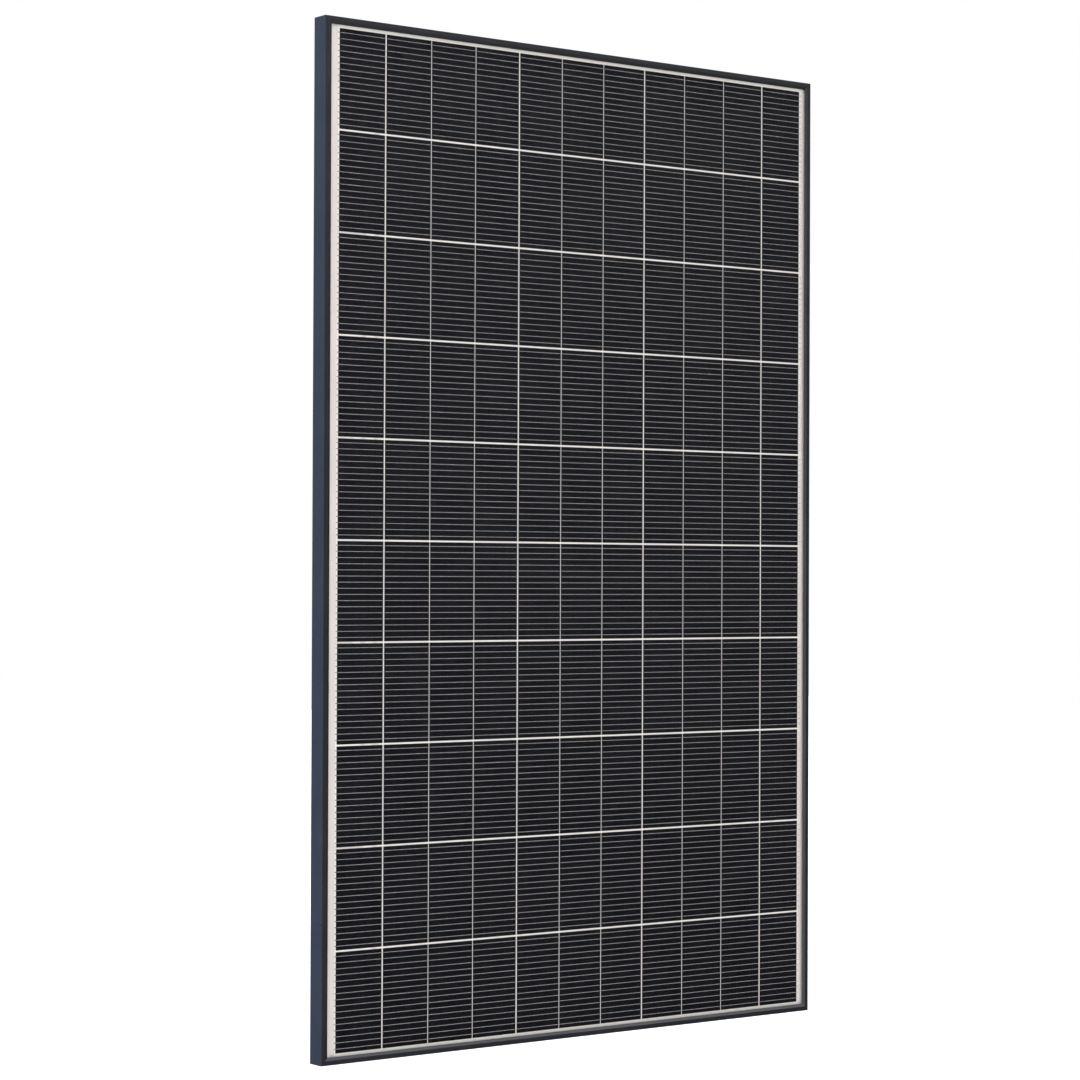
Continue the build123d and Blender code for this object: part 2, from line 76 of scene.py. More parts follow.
TURNED_SIDES = 24  # sides of a round part
LEVEL_GAP = 0.1 * MM  # vertices closer than this are on one level
SHEET_LEVEL_GAP = 0.05 * MM
SCREW_HEAD = 2.9 * MM  # radius of a terminal screw's head
SCREW_SHANK = 1.5 * MM
WIRE_END_INSET = 1.0 * MM  # how far a wire's end stays from a cell's edge
CAMERA_PLACE = (-3.41463, -4.41259, 0.87309)
CAMERA_ANGLES = (90.511, -0.2175, -37.0324)  # degrees
CAMERA_SHIFT = 0.01277  # upward shift of the picture, in picture widths


# ---- Sizes and colours that can be changed


def colour(name, description, default):
    """A colour that can be changed."""
    return FloatVectorProperty(
        name=name, description=description, subtype="COLOR", size=3, min=0, max=1, default=default
    )


def length(name, description, default, low, high, precision=5):
    """A length in metres that can be changed."""
    return FloatProperty(
        name=name, description=description, unit="LENGTH", default=default, min=low, max=high,
        precision=precision,
    )


class FrameFinish(bpy.types.PropertyGroup):
    """The rails' and the corner keys' finish."""

    anodising: colour("Anodising", "Colour of the rails", (0.0150, 0.0165, 0.0208))
    anodising_light: colour(
        "Anodising, light", "Lighter tone in the rails' mottling", (0.0200, 0.0218, 0.0265)
    )
    line_depth: length("Drawn lines", "Depth of the fine lines along the rails", 0.00002, 0, 0.001, 6)


class LaminateFinish(bpy.types.PropertyGroup):
    """The glass, the cells and their wires."""

    silicon: colour("Silicon", "Colour of the cells", (0.0020, 0.0015, 0.0034))
    silicon_light: colour("Silicon, light", "Colour of the palest cells", (0.0033, 0.0027, 0.0050))
    fingers: IntProperty(
        name="Fingers", description="Printed silver fingers across one cell", default=76, min=8, max=200
    )
    corner_cut: length("Corner cut", "Cut across each cell's corners", 0.0007, 0, 0.02)
    wire_metal: colour("Wire", "Colour of the tinned wires", (0.36, 0.36, 0.37))
    wire_step: FloatProperty(
        name="Wire step", description="Share of a gap that a wire keeps flat at each side of its step",
        default=0.15, min=0.05, max=0.45, subtype="FACTOR",
    )
    sheet: colour("Backing", "Colour of the white sheet behind the cells", (0.745, 0.705, 0.66))
    backsheet: colour("Backsheet", "Colour of the sheet on the panel's back", (0.64, 0.645, 0.64))
    cover_film: colour("Cover strip", "Colour of the film beside the cells", (0.625, 0.578, 0.543))
    seed: IntProperty(name="Seed", description="Seed of the cells' tones", default=7, min=0, max=999)


class JunctionBoxFinish(bpy.types.PropertyGroup):
    """The junction box, its lid and its glands."""

    plastic: colour("Plastic", "Colour of the moulded parts", (0.016, 0.016, 0.018))
    edge_round: length("Rounding", "Radius of the moulded edges", 0.0004, 0, 0.003)
    rib_count: IntProperty(name="Lid ribs", description="Raised ribs on the lid", default=9, min=1, max=15)
    rib_pitch: length("Rib pitch", "Distance from rib to rib", 0.006, 0.002, 0.02, 4)


class StudioSetup(bpy.types.PropertyGroup):
    """Floor, light and camera."""

    ambient: FloatProperty(
        name="Ambient light", description="Strength of the soft light from all round", default=0.92, min=0,
        max=5,
    )
    key_power: FloatProperty(
        name="Key light", description="Power of the large light in front", unit="POWER", default=60.0,
        min=0, max=2000,
    )
    lens: FloatProperty(
        name="Lens", description="Camera's focal length", unit="CAMERA", default=96.879, min=20, max=300
    )


# ---- Node trees


def join(tree, value, socket):
    """Link a socket, or set the plain value."""
    if isinstance(value, bpy.types.NodeSocket):
        tree.links.new(value, socket)
    else:
        socket.default_value = value


def put(tree, kind, settings=None, **sockets):
    """Add a node with its settings, and link or set its sockets. An underscore stands for a space."""
    node = tree.nodes.new(kind)
    for name, value in (settings or {}).items():
        setattr(node, name, value)
    for name, value in sockets.items():
        join(tree, value, node.inputs[name.replace("_", " ")])
    return node


def calc(tree, operation, a, b=0.0, c=0.0, clamp=False):
    """One sum on values."""
    node = put(tree, "ShaderNodeMath", {"operation": operation, "use_clamp": clamp})
    for value, socket in zip((a, b, c), node.inputs):
        join(tree, value, socket)
    return node.outputs[0]


def times(tree, a, b, clamp=False):
    """One value times another."""
    return calc(tree, "MULTIPLY", a, b, clamp=clamp)


def blend_colours(tree, factor, first, second):
    """A colour between two, by a factor."""
    node = put(tree, "ShaderNodeMix", {"data_type": "RGBA"})
    for value, socket in zip((factor, first, second), (node.inputs[0], node.inputs[6], node.inputs[7])):
        join(tree, (*value, 1) if isinstance(value, tuple) else value, socket)
    return node.outputs[2]


def ramp(tree, value, low, high, to_low=0.0, to_high=1.0):
    """A value taken from one range to another, with soft ends."""
    node = put(tree, "ShaderNodeMapRange", {"interpolation_type": "SMOOTHSTEP"})
    for item, socket in zip((value, low, high, to_low, to_high), node.inputs):
        join(tree, item, socket)
    return node.outputs[0]


def stretch(tree, vector, scale):
    """The vector, scaled on each axis."""
    node = put(tree, "ShaderNodeVectorMath", {"operation": "MULTIPLY"})
    join(tree, vector, node.inputs[0])
    node.inputs[1].default_value = scale
    return node.outputs[0]


def new_group(name, inputs, outputs):
    """An empty shader group with named sockets, and its input and output nodes."""
    tree = bpy.data.node_groups.new(name, "ShaderNodeTree")
    for label, kind, default in inputs:
        socket = tree.interface.new_socket(label, in_out="INPUT", socket_type=kind)
        if default is not None:
            socket.default_value = default
    for label, kind in outputs:
        tree.interface.new_socket(label, in_out="OUTPUT", socket_type=kind)
    return tree, tree.nodes.new("NodeGroupInput").outputs, tree.nodes.new("NodeGroupOutput").inputs


def mottle_group():
    """Soft patches and fine grain, as a colour between two and as a height."""
    tree, given, out = new_group(
        "Mottle",
        [
            ("Vector", "NodeSocketVector", None),
            ("Patch Scale", "NodeSocketFloat", 12.0),
            ("Grain Scale", "NodeSocketFloat", 900.0),
            ("Dark", "NodeSocketColor", (0, 0, 0, 1)),
            ("Light", "NodeSocketColor", (1, 1, 1, 1)),
        ],
        [("Colour", "NodeSocketColor"), ("Patches", "NodeSocketFloat"), ("Grain", "NodeSocketFloat")],
    )
    patches = put(tree, "ShaderNodeTexNoise", Vector=given["Vector"], Scale=given["Patch Scale"], Detail=3.0)
    grain = put(tree, "ShaderNodeTexNoise", Vector=given["Vector"], Scale=given["Grain Scale"], Detail=2.0)
    mixed = calc(tree, "MULTIPLY_ADD", patches.outputs[0], 0.7, times(tree, grain.outputs[0], 0.3))
    spread = ramp(tree, mixed, 0.32, 0.68)
    join(tree, blend_colours(tree, spread, given["Dark"], given["Light"]), out["Colour"])
    join(tree, patches.outputs[0], out["Patches"])
    join(tree, grain.outputs[0], out["Grain"])
    return tree


def dust_group():
    """A thin veil of dust: more on faces that look up, and broken into specks."""
    tree, given, out = new_group(
        "Dust",
        [("Vector", "NodeSocketVector", None), ("Amount", "NodeSocketFloat", 0.1)],
        [("Mask", "NodeSocketFloat")],
    )
    facing = put(tree, "ShaderNodeSeparateXYZ", Vector=put(tree, "ShaderNodeNewGeometry").outputs["Normal"])
    up = ramp(tree, facing.outputs[2], 0.2, 1.0, 0.25, 1.0)
    veil = put(tree, "ShaderNodeTexNoise", Vector=given["Vector"], Scale=26.0, Detail=4.0)
    specks = put(tree, "ShaderNodeTexVoronoi", Vector=given["Vector"], Scale=420.0)
    dots = ramp(tree, specks.outputs["Distance"], 0.02, 0.18, 1.0, 0.0)
    cover = calc(tree, "MULTIPLY_ADD", ramp(tree, veil.outputs[0], 0.4, 0.75), 0.7, times(tree, dots, 0.3))
    join(tree, times(tree, times(tree, cover, up), given["Amount"], clamp=True), out["Mask"])
    return tree


def off_middle(tree, value):
    """How far the fraction of a value is from one half."""
    return calc(tree, "ABSOLUTE", calc(tree, "SUBTRACT", calc(tree, "FRACT", value), 0.5))


def print_group():
    """What is printed on a cell, in cell widths and heights: fingers, solder pads and the bare edge."""
    tree, given, out = new_group(
        "Cell print",
        [
            ("Place", "NodeSocketVector", None),
            ("Fingers", "NodeSocketFloat", 76.0),
            ("Wires", "NodeSocketFloat", 16.0),
            ("First Wire", "NodeSocketFloat", 0.043),
            ("Pads", "NodeSocketFloat", 6.0),
        ],
        [("Fingers", "NodeSocketFloat"), ("Pads", "NodeSocketFloat"), ("Edge", "NodeSocketFloat")],
    )
    place = put(tree, "ShaderNodeSeparateXYZ", Vector=given["Place"])
    across, up = place.outputs[0], place.outputs[1]
    fingers = ramp(tree, off_middle(tree, times(tree, across, given["Fingers"])), 0.03, 0.07, 1.0, 0.0)
    # wires are evenly spaced between the first one and its mirror at the top of the cell
    span = calc(tree, "MULTIPLY_ADD", given["First Wire"], -2.0, 1.0)
    along = calc(tree, "DIVIDE", calc(tree, "SUBTRACT", up, given["First Wire"]), span)
    count = calc(tree, "MULTIPLY_ADD", along, calc(tree, "SUBTRACT", given["Wires"], 1.0), 0.5)
    on_wire = ramp(tree, off_middle(tree, count), 0.055, 0.07, 1.0, 0.0)
    on_pad = ramp(tree, off_middle(tree, times(tree, across, given["Pads"])), 0.04, 0.05, 1.0, 0.0)
    pads = times(tree, on_wire, on_pad)
    side = calc(tree, "MINIMUM", across, calc(tree, "SUBTRACT", 1.0, across))
    # a cell is taller than it is wide by this share
    end = times(tree, calc(tree, "MINIMUM", up, calc(tree, "SUBTRACT", 1.0, up)), 1.83)
    edge = ramp(tree, calc(tree, "MINIMUM", side, end), 0.004, 0.012, 1.0, 0.0)
    inside = calc(tree, "SUBTRACT", 1.0, edge)
    join(tree, times(tree, fingers, inside), out["Fingers"])
    join(tree, times(tree, pads, inside), out["Pads"])
    join(tree, edge, out["Edge"])
    return tree


def emboss_group():
    """The fine embossed net of a pressed sheet."""
    tree, given, out = new_group(
        "Embossed net",
        [("Vector", "NodeSocketVector", None), ("Scale", "NodeSocketFloat", 700.0)],
        [("Height", "NodeSocketFloat")],
    )
    net = put(
        tree, "ShaderNodeTexVoronoi", {"feature": "DISTANCE_TO_EDGE"}, Vector=given["Vector"],
        Scale=given["Scale"],
    )
    join(tree, ramp(tree, net.outputs["Distance"], 0.0, 0.25), out["Height"])
    return tree


group_makers = {
    "Mottle": mottle_group, "Dust": dust_group, "Cell print": print_group, "Embossed net": emboss_group
}
groups = {}


def use(tree, name, **sockets):
    """A shared shader group placed in a material's tree."""
    if name not in groups:
        groups[name] = group_makers[name]()
    node = tree.nodes.new("ShaderNodeGroup")
    node.node_tree = groups[name]
    for label, value in sockets.items():
        if isinstance(value, tuple):
            value = (*value, 1)
        join(tree, value, node.inputs[label.replace("_", " ")])
    return node.outputs


def mottled(tree, place, patch_scale, grain_scale, dark, light):
    """The mottling group between two colours."""
    return use(
        tree, "Mottle", Vector=place, Patch_Scale=patch_scale, Grain_Scale=grain_scale, Dark=dark, Light=light
    )


def new_material(name, **surface):
    """A material with one Principled surface, its tree and the place it is read from."""
    material = bpy.data.materials.new(name)
    material.use_nodes = True
    tree = material.node_tree
    shader = tree.nodes["Principled BSDF"]
    for label, value in surface.items():
        shader.inputs[label.replace("_", " ")].default_value = value
    place = put(tree, "ShaderNodeTexCoord").outputs["Object"]
    return material, tree, shader.inputs, place


def roughen(tree, height, shader, distance):
    """Give the surface a bump of that height."""
    bump = put(tree, "ShaderNodeBump", Height=height, Distance=distance)
    join(tree, bump.outputs[0], shader["Normal"])


def vary_roughness(tree, pattern, shader, low, high):
    """Let the roughness follow a pattern between two values."""
    join(tree, ramp(tree, pattern, 0.3, 0.7, low, high), shader["Roughness"])


def anodised(name, scale, finish):
    """Black anodised aluminium with fine drawn lines along the rail."""
    material, tree, shader, place = new_material(name, Metallic=0.55)
    tones = mottled(tree, place, 9.0, 1500.0, tuple(finish.anodising), tuple(finish.anodising_light))
    dust = use(tree, "Dust", Vector=place, Amount=0.10)["Mask"]
    join(tree, blend_colours(tree, dust, tones["Colour"], (0.22, 0.21, 0.19)), shader["Base Color"])
    lines = put(tree, "ShaderNodeTexNoise", Vector=stretch(tree, place, scale), Scale=1.0, Detail=2.0)
    worn = calc(tree, "MULTIPLY_ADD", lines.outputs[0], 0.5, times(tree, tones["Grain"], 0.5))
    join(tree, ramp(tree, worn, 0.2, 0.8, 0.30, 0.42), shader["Roughness"])
    height = calc(tree, "MULTIPLY_ADD", tones["Grain"], 0.4, lines.outputs[0])
    roughen(tree, height, shader, finish.line_depth)
    return material


def mill_aluminium():
    """Plain sawn and pressed aluminium for the corner keys."""
    material, tree, shader, place = new_material("Mill aluminium", Metallic=1.0)
    tones = mottled(tree, place, 60.0, 2200.0, (0.52, 0.53, 0.55), (0.66, 0.67, 0.69))
    join(tree, tones["Colour"], shader["Base Color"])
    saw = put(tree, "ShaderNodeTexNoise", Vector=stretch(tree, place, (400, 4000, 400)), Scale=1.0, Detail=3.0)
    vary_roughness(tree, saw.outputs[0], shader, 0.28, 0.5)
    roughen(tree, saw.outputs[0], shader, 0.00003)
    return material


def clear_glass():
    """Low-iron glass that only reflects: what lies behind shows through."""
    material, tree, shader, place = new_material("Clear glass", Metallic=1.0, Base_Color=(0.93, 0.96, 0.95, 1))
    facing = put(tree, "ShaderNodeLayerWeight", Blend=0.5).outputs["Facing"]
    grazing = calc(tree, "POWER", facing, 4.0)
    join(tree, calc(tree, "MULTIPLY_ADD", grazing, 0.35, 0.005, clamp=True), shader["Alpha"])
    ripple = put(tree, "ShaderNodeTexNoise", Vector=place, Scale=700.0, Detail=2.0)
    waves = put(tree, "ShaderNodeTexNoise", Vector=place, Scale=2.2, Detail=1.0)
    vary_roughness(tree, ripple.outputs[0], shader, 0.10, 0.16)
    roughen(tree, calc(tree, "MULTIPLY_ADD", waves.outputs[0], 8.0, ripple.outputs[0]), shader, 0.000012)
    return material


def clear_film():
    """The encapsulant in front of the cells, which is almost unseen."""
    material, tree, shader, place = new_material(
        "Clear encapsulant", Metallic=1.0, Base_Color=(0.96, 0.97, 0.96, 1)
    )
    haze = put(tree, "ShaderNodeTexNoise", Vector=place, Scale=900.0, Detail=2.0)
    join(tree, ramp(tree, haze.outputs[0], 0.3, 0.7, 0.001, 0.003), shader["Alpha"])
    vary_roughness(tree, haze.outputs[0], shader, 0.30, 0.45)
    return material


def silicon(finish, first_wire, wires):
    """Coated silicon with printed fingers and solder pads, and a slight change of tone from cell to cell."""
    material, tree, shader, place = new_material("Coated silicon", Specular_IOR_Level=0.06)
    cell = put(tree, "ShaderNodeUVMap", {"uv_map": "cell_place"}).outputs[0]
    marks = use(
        tree, "Cell print", Place=cell, Fingers=float(finish.fingers), Wires=float(wires), First_Wire=first_wire
    )
    tone = put(tree, "ShaderNodeAttribute", {"attribute_name": "cell_tone"}).outputs["Fac"]
    grains = mottled(tree, place, 45.0, 1400.0, (0.0, 0.0, 0.0), (1.0, 1.0, 1.0))
    level = calc(tree, "MULTIPLY_ADD", grains["Patches"], 0.35, times(tree, tone, 0.65))
    base = blend_colours(tree, level, tuple(finish.silicon), tuple(finish.silicon_light))
    fingered = blend_colours(tree, times(tree, marks["Fingers"], 0.03), base, (0.42, 0.42, 0.44))
    edged = blend_colours(tree, marks["Edge"], fingered, (0.004, 0.004, 0.006))
    padded = blend_colours(tree, times(tree, marks["Pads"], 0.55), edged, (0.34, 0.34, 0.36))
    join(tree, padded, shader["Base Color"])
    join(tree, times(tree, marks["Pads"], 0.8), shader["Metallic"])
    vary_roughness(tree, grains["Grain"], shader, 0.34, 0.48)
    raised = calc(tree, "MAXIMUM", marks["Fingers"], marks["Pads"])
    roughen(tree, calc(tree, "MULTIPLY_ADD", grains["Grain"], 0.3, raised), shader, 0.00001)
    return material


def tinned(name, dark, light, metallic, rough, bump):
    """Tinned copper: bright, slightly uneven solder."""
    material, tree, shader, place = new_material(name, Metallic=metallic)
    tones = mottled(tree, place, 350.0, 4000.0, dark, light)
    join(tree, tones["Colour"], shader["Base Color"])
    vary_roughness(tree, tones["Patches"], shader, rough - 0.08, rough + 0.1)
    roughen(tree, tones["Patches"], shader, bump)
    return material


def white_film(name, dark, light, net_scale, rough):
    """A white pressed film, with a fine net and a faint change of tone."""
    material, tree, shader, place = new_material(name, Specular_IOR_Level=0.3)
    tones = mottled(tree, place, 16.0, 1100.0, dark, light)
    join(tree, tones["Colour"], shader["Base Color"])
    vary_roughness(tree, tones["Grain"], shader, rough - 0.06, rough + 0.06)
    net = use(tree, "Embossed net", Vector=place, Scale=net_scale)["Height"]
    roughen(tree, net, shader, 0.00002)
    return material


def moulded(name, base, rough, grain_scale, depth, dust):
    """Moulded plastic or rubber with a fine spark-eroded grain and a little dust."""
    material, tree, shader, place = new_material(name, Specular_IOR_Level=0.45)
    light = tuple(min(1.0, 1.45 * part + 0.002) for part in base)
    tones = mottled(tree, place, 70.0, grain_scale, base, light)
    veil = use(tree, "Dust", Vector=place, Amount=dust)["Mask"]
    join(tree, blend_colours(tree, veil, tones["Colour"], (0.25, 0.24, 0.22)), shader["Base Color"])
    vary_roughness(tree, tones["Patches"], shader, rough - 0.07, rough + 0.07)
    roughen(tree, tones["Grain"], shader, depth)
    return material


def label_paper():
    """Blank label stock with a faint fibre."""
    material, tree, shader, place = new_material("Label stock", Specular_IOR_Level=0.4)
    fibre = stretch(tree, place, (1, 1, 0.35))
    tones = mottled(tree, fibre, 90.0, 1800.0, (0.78, 0.78, 0.76), (0.86, 0.86, 0.84))
    join(tree, tones["Colour"], shader["Base Color"])
    vary_roughness(tree, tones["Grain"], shader, 0.36, 0.5)
    roughen(tree, tones["Grain"], shader, 0.00001)
    return material


# ---- Meshes


def dress(names, material):
    """Give CAD nodes their finish."""
    for name in names:
        mesh = nodes[name].data
        mesh.materials.clear()
        mesh.materials.append(material)


def named(start):
    """The CAD nodes whose names start that way, in order."""
    return sorted(name for name in nodes if name.startswith(start))


def put_in_scene(name, data):
    """A new object in the scene."""
    item = bpy.data.objects.new(name, data)
    bpy.context.scene.collection.objects.link(item)
    return item


def finished(shape):
    """The object's mesh with its modifiers applied. The object is removed."""
    seen = shape.evaluated_get(bpy.context.evaluated_depsgraph_get())
    mesh = bpy.data.meshes.new_from_object(seen)
    shape.modifiers.clear()
    bpy.data.objects.remove(shape)
    return mesh


def add_piece(name, mesh, body, material=None, replaces=()):
    """Put a finished mesh in the scene as a piece of the panel."""
    piece = put_in_scene(name, mesh)
    if material is not None:
        mesh.materials.clear()
        mesh.materials.append(material)
    if replaces:
        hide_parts(*replaces)
    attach(piece, body)
    return piece


def mesh_from(name, points, faces):
    """A mesh from plain points and faces."""
    mesh = bpy.data.meshes.new(name)
    mesh.from_pydata(points, [], faces)
    mesh.update()
    return mesh


def repeat_tree():
    """Geometry nodes that set a shape out in a line: count, step, start and material are inputs."""
    tree = bpy.data.node_groups.new("Repeat in a line", "GeometryNodeTree")
    face = tree.interface
    inputs = {"Geometry": "Geometry", "Count": "Int", "Step": "Vector", "Start": "Vector", "Material": "Material"}
    for name, kind in inputs.items():
        face.new_socket(name, in_out="INPUT", socket_type="NodeSocket" + kind)
    face.new_socket("Geometry", in_out="OUTPUT", socket_type="NodeSocketGeometry")
    given = tree.nodes.new("NodeGroupInput").outputs
    out = tree.nodes.new("NodeGroupOutput").inputs
    line = put(
        tree, "GeometryNodeMeshLine", {"mode": "OFFSET"}, Count=given["Count"],
        Start_Location=given["Start"], Offset=given["Step"],
    )
    copies = put(tree, "GeometryNodeInstanceOnPoints", Points=line.outputs[0], Instance=given["Geometry"])
    solid = put(tree, "GeometryNodeRealizeInstances", Geometry=copies.outputs[0])
    painted = put(tree, "GeometryNodeSetMaterial", Geometry=solid.outputs[0], Material=given["Material"])
    join(tree, painted.outputs[0], out["Geometry"])
    return tree


def repeat(name, mesh, material, *lines):
    """The mesh repeated along each line of (count, step, start) in turn, as a plain mesh."""
    tree = bpy.data.node_groups.get("Repeat in a line") or repeat_tree()
    keys = {item.name: item.identifier for item in tree.interface.items_tree if item.in_out == "INPUT"}
    for count, step, start in lines:
        shape = put_in_scene(name, mesh)
        modifier = shape.modifiers.new("Repeat", "NODES")
        modifier.node_group = tree
        for key, value in (("Count", count), ("Step", step), ("Start", start), ("Material", material)):
            modifier[keys[key]] = value
        shape.update_tag()
        mesh = finished(shape)
    mesh.name = name
    return mesh


def softened(node, radius):
    """A copy of a CAD node's mesh with its doubles merged, flat faces joined and edges rounded."""
    shell = bmesh.new()
    shell.from_mesh(nodes[node].data)
    bmesh.ops.remove_doubles(shell, verts=shell.verts, dist=0.000004)
    bmesh.ops.dissolve_limit(shell, angle_limit=math.radians(1.5), verts=shell.verts, edges=shell.edges)
    mesh = bpy.data.meshes.new(node + "_softened")
    shell.to_mesh(mesh)
    shell.free()
    shape = put_in_scene(node + "_softened", mesh)
    bevel = shape.modifiers.new("Bevel", "BEVEL")
    bevel.width = radius
    bevel.segments = 2
    bevel.limit_method = "ANGLE"
    bevel.angle_limit = math.radians(40)
    bevel.use_clamp_overlap = True
    done = finished(shape)
    done.set_sharp_from_angle(angle=math.radians(32))
    for face in done.polygons:
        face.use_smooth = True
    return done


def tube_through(points, section):
    """Points and faces of a bar with the same section at each place along X, closed at both ends."""
    corners = []
    faces = []
    size = len(section)
    for x, y in points:
        corners.extend((x, y + across_y, across_z) for across_z, across_y in section)
    for ring in range(len(points) - 1):
        low = ring * size
        for corner in range(size):
            after = (corner + 1) % size
            faces.append((low + corner, low + size + corner, low + size + after, low + after))
    faces.append(tuple(range(size)))
    faces.append(tuple(reversed(range(len(corners) - size, len(corners)))))
    return corners, faces


def outward(mesh):
    """Turn a closed shape's faces outwards."""
    shell = bmesh.new()
    shell.from_mesh(mesh)
    bmesh.ops.recalc_face_normals(shell, faces=shell.faces)
    shell.to_mesh(mesh)
    shell.free()
    return mesh


def block(low, high, cut):
    """Points and faces of a box with its far-side edges cut, the far side being +Y."""
    x0, y0, z0 = low
    x1, y1, z1 = high
    rings = ((y0, 0.0), (y1 - cut, 0.0), (y1, cut))
    points = []
    for y, inset in rings:
        left, right, bottom, top = x0 + inset, x1 - inset, z0 + inset, z1 - inset
        points += [(left, y, bottom), (right, y, bottom), (right, y, top), (left, y, top)]
    faces = [(0, 1, 2, 3), (11, 10, 9, 8)]
    for ring in (0, 4):
        for corner in range(4):
            after = (corner + 1) % 4
            faces.append((ring + corner, ring + 4 + corner, ring + 4 + after, ring + after))
    return points, faces


def block_mesh(name, low, high, cut):
    """A closed box with its far-side edges cut, as a mesh."""
    return outward(mesh_from(name, *block(low, high, cut)))


def turned(rings, sides=TURNED_SIDES):
    """Points and faces of a shape turned about the Y axis from (depth, radius, hexagon share) rings."""
    points = []
    for depth, radius, hexed in rings:
        for side in range(sides):
            angle = 2 * math.pi * side / sides
            flat = math.cos(math.pi / 6) / math.cos(angle % (math.pi / 3) - math.pi / 6)
            reach = radius * (1 - hexed + hexed * flat)
            points.append((reach * math.cos(angle), depth, reach * math.sin(angle)))
    faces = [tuple(range(sides)), tuple(reversed(range(len(points) - sides, len(points))))]
    for ring in range(len(rings) - 1):
        low = ring * sides
        for side in range(sides):
            after = (side + 1) % sides
            faces.append((low + side, low + sides + side, low + sides + after, low + after))
    return points, faces


def cell_edges():
    """Each column's lowest and highest X, from the first row of cells."""
    marks = []
    for x in sorted(vertex.co.x for vertex in nodes["cell_row_01"].data.vertices):
        if not marks or x - marks[-1] > 0.0005:
            marks.append(x)
    return list(zip(marks[0::2], marks[1::2]))


def spaced_levels(node, axis, gap):
    """The separate places of a node's vertices on one axis."""
    marks = []
    for place in sorted(vertex.co[axis] for vertex in nodes[node].data.vertices):
        if not marks or place - marks[-1] > gap:
            marks.append(place)
    return marks


# ---- Operators


class SOLAR_OT_frame(bpy.types.Operator):
    """Finish the rails and the corner keys"""

    bl_idname = "solar.frame"
    bl_label = "Frame"

    def execute(self, context):
        finish = context.scene.solar_frame
        dress(["frame_rail_left", "frame_rail_right"], anodised("Anodised long rail", (2600, 2600, 5), finish))
        dress(["frame_rail_top", "frame_rail_bottom"], anodised("Anodised short rail", (5, 2600, 2600), finish))
        dress(named("corner_key"), mill_aluminium())
        dress(["edge_seal"], moulded("Edge silicone", (0.022, 0.022, 0.023), 0.5, 500.0, 0.00004, 0.05))
        # painted shade: a near-black block set into the notch so that it looks shadowed
        self.notch_painted_shade(moulded("Notch painted shade", (0.003, 0.003, 0.004), 0.8, 500.0, 0.00004, 0.02))
        return {"FINISHED"}

    def notch_painted_shade(self, shade_fill):
        """Painted shade: a near-black block in the bottom of the small notch in the left rail's side, low down at
        its front edge, standing in for the notch's shadow.
        """
        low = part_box("frame_rail_left")[0]
        height, half, reach, deep = 252 * MM, 1.45 * MM, 7.9 * MM, 0.7 * MM
        near = (low.x + 0.3 * MM, low.y + 0.8 * MM, height - half)
        far = (low.x + deep, low.y + reach, height + half)
        add_piece("notch_painted_shade", block_mesh("notch_painted_shade", near, far, 0.05 * MM), "panel", shade_fill)


class SOLAR_OT_glass(bpy.types.Operator):
    """Finish the glass and the clear encapsulant"""

    bl_idname = "solar.glass"
    bl_label = "Glass"

    def execute(self, context):
        dress(["front_glass"], clear_glass())
        low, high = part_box("front_encapsulant")
        # a little thinner than its space, so that it doesn't share a face with the wires
        mesh = block_mesh("clear_sheet", low, (high.x, high.y - 0.15 * MM, high.z), 0.02 * MM)
        add_piece("clear_sheet", mesh, "panel", clear_film(), ["front_encapsulant"])
        return {"FINISHED"}


class SOLAR_OT_cells(bpy.types.Operator):
    """Build the rows of cells"""

    bl_idname = "solar.cells"
    bl_label = "Cells"

    def execute(self, context):
        finish = context.scene.solar_laminate
        heights = spaced_levels("cell_wires_01", 2, LEVEL_GAP)
        low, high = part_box("cell_row_01")
        first_wire = ((heights[0] + heights[1]) / 2 - low.z) / (high.z - low.z)
        material = silicon(finish, first_wire, len(heights) // 2)
        chance = random.Random(finish.seed)
        for row, node in enumerate(named("cell_row")):
            low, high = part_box(node)
            mesh = self.row_mesh(finish, low, high, chance)
            add_piece(f"cells_{row + 1:02d}", mesh, "panel", material, [node])
        return {"FINISHED"}

    def row_mesh(self, finish, low, high, chance):
        """One row of cells with cut corners and a fine cut round the front."""
        points, faces, tones, places = [], [], [], []
        cut = 0.05 * MM
        for start, end in cell_edges():
            base = len(points)
            for y, inset in ((high.y, 0.0), (low.y + cut, 0.0), (low.y, cut)):
                x0, x1, z0, z1 = start + inset, end - inset, low.z + inset, high.z - inset
                c = finish.corner_cut
                ring = [
                    (x0 + c, z0), (x1 - c, z0), (x1, z0 + c), (x1, z1 - c),
                    (x1 - c, z1), (x0 + c, z1), (x0, z1 - c), (x0, z0 + c),
                ]
                points += [(x, y, z) for x, z in ring]
                places += [
                    ((x - start) / (end - start), (z - low.z) / (high.z - low.z)) for x, z in ring
                ]
            faces.append(tuple(base + corner for corner in reversed(range(8))))
            faces.append(tuple(base + 16 + corner for corner in range(8)))
            for ring in (base, base + 8):
                for corner in range(8):
                    after = (corner + 1) % 8
                    faces.append((ring + corner, ring + after, ring + 8 + after, ring + 8 + corner))
            tones += [chance.random()] * 18
        mesh = mesh_from("cells", points, faces)
        tone = mesh.attributes.new("cell_tone", "FLOAT", "FACE")
        tone.data.foreach_set("value", tones)
        layer = mesh.uv_layers.new(name="cell_place")
        for loop in mesh.loops:
            layer.data[loop.index].uv = places[loop.vertex_index]
        return outward(mesh)


